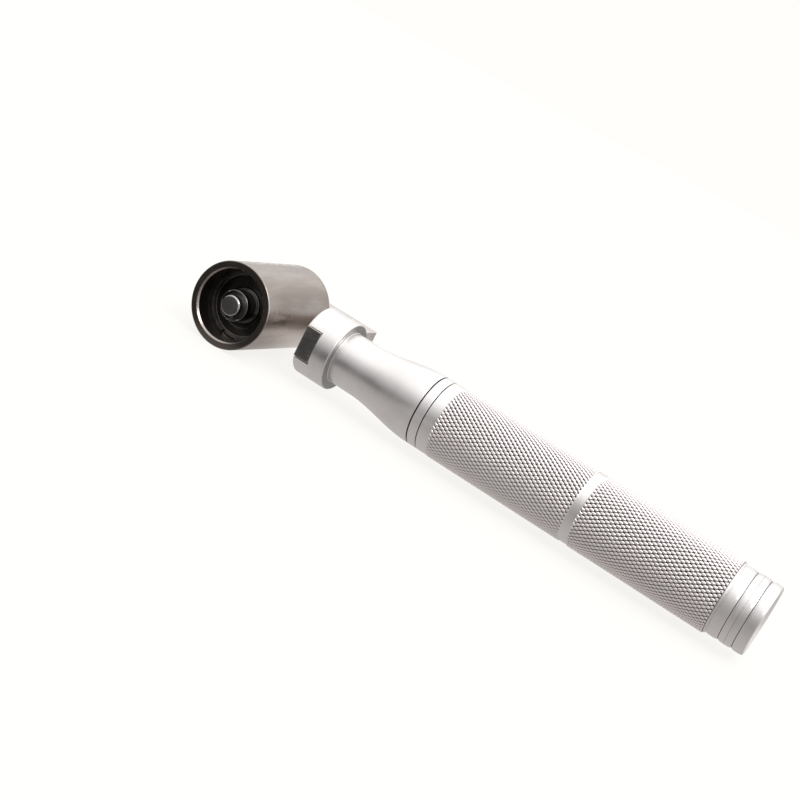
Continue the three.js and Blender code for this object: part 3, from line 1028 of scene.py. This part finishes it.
def knurl(bm, low, high, rows, shift, depths):
    """Diamond knurling: each diamond is a rounded blob between two families of grooves."""
    step = (high - low) / rows
    inner = (1 - 2 * BLOB_SHARE) * step

    def face(*points):
        bm.faces.new([bm.verts.new(p) for p in points])

    for j in range(rows + 1):
        z = low + step * j
        for m in range(STARTS):
            u = m + shift + 0.5 * (j % 2)
            left, right = knurl_point(PIT_RADIUS, u, z), knurl_point(PIT_RADIUS, u + 1, z)
            left_blob = knurl_point(BLOB_RADIUS, u + BLOB_SHARE, z)
            right_blob = knurl_point(BLOB_RADIUS, u + 1 - BLOB_SHARE, z)
            crest = knurl_point(CREST_RADIUS, u + 0.5, z)
            for way in (-1, 1):
                if not low - 1e-6 < z + way * step < high + 1e-6:
                    continue
                end = knurl_point(PIT_RADIUS, u + 0.5, z + way * step)
                end_blob = knurl_point(BLOB_RADIUS, u + 0.5, z + way * inner)
                grooves = depths[::way]
                near = knurl_point(grooves[0], u + 0.25, z + way * step / 2)
                far = knurl_point(grooves[1], u + 0.75, z + way * step / 2)
                for corner, blob, middle in ((left, left_blob, near), (right, right_blob, far)):
                    face(corner, middle, blob)
                    face(middle, end_blob, blob)
                    face(middle, end, end_blob)
                    face(blob, end_blob, crest)


def grip_mesh():
    """The grip: two knurled stretches with a smooth band between them, and a bore at each end."""
    bm = bmesh.new()
    (first_low, first_high), (second_low, second_high) = (
        (low + KNURL_RUN, high - KNURL_RUN) for low, high in (KNURL_1, KNURL_2)
    )
    front = rounded([
        (0, GRIP_LOW + GRIP_BORE_DEPTH),
        (GRIP_BORE, GRIP_LOW + GRIP_BORE_DEPTH),
        (GRIP_BORE, GRIP_LOW, 0.2),
        (SHOULDER_RADIUS, GRIP_LOW, 0.2),
        (SHOULDER_RADIUS, KNURL_1[0]),
    ], closed=False)
    band = rounded([
        (CREST_RADIUS - 0.15, KNURL_1[1] - 0.05),
        (BAND_RADIUS, KNURL_1[1] + 0.12, 0.1),
        (BAND_RADIUS, KNURL_2[0] - 0.12, 0.1),
        (CREST_RADIUS - 0.15, KNURL_2[0] + 0.05),
    ], closed=False)
    back = rounded([
        (BAND_RADIUS, KNURL_2[1]),
        (GRIP_BORE, KNURL_2[1], 0.2),
        (GRIP_BORE, KNURL_2[1] - GRIP_BORE_DEPTH),
        (0, KNURL_2[1] - GRIP_BORE_DEPTH),
    ], closed=False)
    loft(bm, [*smooth_rings(front, 0), knurl_ring(first_low, 0)])
    knurl(bm, first_low, first_high, KNURL_ROWS[0], 0, GROOVES[0])
    loft(bm, [knurl_ring(first_high, 0.5), *smooth_rings(band, 0.5), knurl_ring(second_low, 0.5)])
    knurl(bm, second_low, second_high, KNURL_ROWS[1], 0.5, GROOVES[1])
    loft(bm, [knurl_ring(second_high, 0.5), *smooth_rings(back, 0.5)])
    return to_mesh(bm, "grip")


def cap_mesh():
    """The tail cap: a small lip, then three barrel-shaped rings with fine grooves between them."""
    start = KNURL_2[1] + 0.05
    inner = CAP_LOW - SPIGOT_LENGTH
    edges = (start + 0.8, *CAP_GROOVES, HANDLE_END)
    crown, shoulder = CAP_RADIUS + 0.12, CAP_RADIUS - 0.22
    lip, floor, half = CAP_RADIUS + 0.35, shoulder - 0.35, 0.1
    corners = [
        (0, inner),
        (SPIGOT_RADIUS, inner, 0.4),
        (SPIGOT_RADIUS, start),
        (lip, start, 0.1),
        (lip, start + 0.55, 0.2),
    ]
    steps = 12
    for i in range(3):
        low = edges[i] + (half if i else 0)
        high = edges[i + 1] - (half if i < 2 else 0)
        if i:
            corners.append((floor, low - 0.08, 0.03))
        for k in range(steps + 1):
            t = 2 * k / steps - 1
            height = low + (high - low) * k / steps
            corners.append((shoulder + (crown - shoulder) * (1 - t ** 4), height))
            if i == 1 and height < CAP_LINE < height + (high - low) / steps:
                corners += [
                    (crown, CAP_LINE - 0.07),
                    (crown - 0.1, CAP_LINE),
                    (crown, CAP_LINE + 0.07),
                ]
        if i < 2:
            corners.append((floor, high + 0.08, 0.03))
    corners[-1] = (*corners[-1], 0.5)
    corners += [(11.2, HANDLE_END, 0.3), (0, HANDLE_END)]
    return turned("cap", rounded(corners, closed=False), 240, along_x)


place_piece("bracket_screw", screw_mesh(), HELD, "fastener_steel", fastener_steel)
place_piece("handle_neck", neck_mesh(), HELD, "handle_aluminium", aluminium)
place_piece("knurled_grip", grip_mesh(), HELD, "handle_aluminium", grip_aluminium)
place_piece("tail_cap", cap_mesh(), HELD, "handle_aluminium", aluminium)

# ---- CAD nodes that stay ----------------------------------------------------------------

for node in ("open_side_bearing_cage", "arm_side_bearing_cage"):
    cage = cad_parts[node]
    for material_slot in cage.material_slots:
        material_slot.material = spring_steel

# ---- floor, light and camera ------------------------------------------------------------

PALE = (1.0, 0.991, 0.956, 1)
FLOOR_COLOUR = (0.145, 0.1437, 0.1386, 1)
FLOOR_TINT = (1.02, 0.975, 0.945)
FLOOR_REACH = 4000
FLOOR_DEPTH = 0.02  # how far the floor is under the roller
BAND_REACH = 200  # the bands of floor light run this far across
WORLD_TINT = (1.005, 0.995, 0.985)

FLOOR_BANDS = (  # the light of the floor, from the open side (0) to the arm's side (1)
    (0.0, 0.30), (0.1, 0.30), (0.3, 0.34), (0.4, 0.43), (0.5, 0.54),
    (0.58, 0.76), (0.65, 0.88), (0.75, 0.62), (0.86, 0.42), (1.0, 0.42),
)
SKY_BANDS = (  # the light of the studio, from straight down (-1) to straight up (1)
    (-1, 0.22), (-0.1, 0.22), (0.0, 0.30), (0.1, 0.38),
    (0.26, 0.52), (0.5, 0.78), (0.7, 1.2), (1.0, 1.25),
)
SKY_LAMPS = (  # direction, the span of cosines over which it fades in, strength
    ((-0.42, 0.907, 0.0), 0.4, 1.0, 0.38),
    ((0.52, -0.38, 0.765), 0.955, 0.985, 5.0),
    ((0.95, 0.3, 0.05), 0.6, 1.0, 0.9),
)

SENSOR = 36
LENS = 66.38
CAMERA_PLACE = (220.011, -451.289, 118.75)
CAMERA_RIGHT = (0.80014, 0.40136, 0.44574)
CAMERA_UP = (-0.50592, 0.05242, 0.86098)


def curve(shader, value, stops):
    """A value looked up in a smooth curve through (value, result) stops."""
    node = shader.add("FloatCurve", {"Value": value})
    node.mapping.use_clip = False
    points = node.mapping.curves[0].points
    points[0].location = stops[0]
    points[-1].location = stops[-1]
    for stop in stops[1:-1]:
        points.new(*stop)
    node.mapping.update()
    return node.outputs[0]


def tinted(shader, value, tint):
    """A colour from a brightness and a tint."""
    parts = [shader.math("MULTIPLY", value, share) for share in tint]
    return shader.add("CombineColor", dict(enumerate(parts))).outputs[0]


def add_floor():
    """A pale table. The metal sees it darker round the roller and the neck, and bright behind."""
    bm = bmesh.new()
    corners = ((-1, -1), (1, -1), (1, 1), (-1, 1))
    bm.faces.new([bm.verts.new((x * FLOOR_REACH, y * FLOOR_REACH, 0)) for x, y in corners])
    floor = bpy.data.objects.new("floor", to_mesh(bm, "floor"))
    bpy.context.scene.collection.objects.link(floor)
    floor.location = (ORIGIN.x, ORIGIN.y, -FLOOR_DEPTH * MM)
    material = bpy.data.materials.new("floor_pale")
    material.use_nodes = True
    material.node_tree.nodes.clear()
    shader = Shader(material.node_tree)
    seen = shader.add("LightPath").outputs["Is Camera Ray"]
    here = shader.add("SeparateXYZ", {0: shader.add("TexCoord").outputs["Object"]}).outputs

    def zone(low, full, until, gone):
        """1 between two places along the handle, with soft ends."""
        return shader.product(
            shader.span_mm(here[0], low, full), shader.span_mm(here[0], gone, until)
        )

    # For the metal the floor glows. It carries painted light in bands across it, is darkened by painted
    # shade round the roller and under the neck, and is raised by painted light before the neck.
    across = shader.math("ADD", shader.math("MULTIPLY", here[1], 1 / (BAND_REACH * MM)), 0.5)
    floor_clear_of_shade = shader.math(
        "MAXIMUM", shader.span_mm(here[0], 24, 40), shader.span_mm(here[1], -42, -28)
    )
    shade_under_neck = shader.product(zone(25, 42, 75, 95), shader.span_mm(here[1], 0.0, 15))
    light_before_neck = shader.product(zone(15, 40, 60, 75), shader.span_mm(here[1], -30, -60))
    level = shader.product(
        curve(shader, across, FLOOR_BANDS),
        shader.span(floor_clear_of_shade, 0.0, 1.0, 0.24, 1.0),
        shader.span(shade_under_neck, 0.0, 1.0, 1.0, 0.55),
        shader.span(light_before_neck, 0.0, 1.0, 1.0, 1.7),
    )
    bounce = shader.mix(seen, tinted(shader, level, FLOOR_TINT), PALE)
    strength = shader.math("SUBTRACT", 1.0, shader.math("MULTIPLY", seen, 0.155))
    glow = shader.add("Emission", {"Color": bounce, "Strength": strength})
    lit = shader.add("BsdfDiffuse", {"Color": shader.mix(seen, (0, 0, 0, 1), FLOOR_COLOUR)})
    both = shader.add("AddShader", {0: lit.outputs[0], 1: glow.outputs[0]})
    shader.link(both.outputs[0], shader.add("OutputMaterial").inputs["Surface"])
    floor.data.materials.append(material)


def add_world():
    """A soft studio: a broad white ceiling that fades to grey at the horizon, and three soft lamps."""
    world = bpy.data.worlds.new("studio")
    bpy.context.scene.world = world
    world.use_nodes = True
    world.node_tree.nodes.clear()
    shader = Shader(world.node_tree)
    direction = shader.add("TexCoord").outputs["Generated"]
    up = shader.add("SeparateXYZ", {0: direction}).outputs[2]
    total = curve(shader, up, SKY_BANDS)
    for towards, low, high, strength in SKY_LAMPS:
        facing = shader.add("VectorMath", {0: direction, 1: towards}, operation="DOT_PRODUCT")
        lamp = shader.span(facing.outputs["Value"], low, high, 0.0, strength)
        total = shader.math("ADD", total, lamp)
    studio = shader.add("Background", {"Color": tinted(shader, total, WORLD_TINT)})
    pale = shader.add("Background", {"Color": PALE})
    seen = shader.add("LightPath").outputs["Is Camera Ray"]
    both = shader.add("MixShader", {0: seen, 1: studio.outputs[0], 2: pale.outputs[0]})
    shader.link(both.outputs[0], shader.add("OutputWorld").inputs["Surface"])


def add_camera():
    """A camera that looks down at the roller's open end, with the handle running off to the right."""
    data = bpy.data.cameras.new("camera")
    camera = bpy.data.objects.new("camera", data)
    bpy.context.scene.collection.objects.link(camera)
    data.sensor_width = SENSOR
    data.lens = LENS
    data.clip_start = 0.01
    right, up = Vector(CAMERA_RIGHT), Vector(CAMERA_UP)
    matrix = Matrix((right, up, right.cross(up))).transposed().to_4x4()
    matrix.translation = ORIGIN + Vector(CAMERA_PLACE) * MM
    camera.matrix_world = matrix
    bpy.context.scene.camera = camera


add_floor()
add_world()
add_camera()
bpy.context.scene.view_settings.view_transform = "Standard"
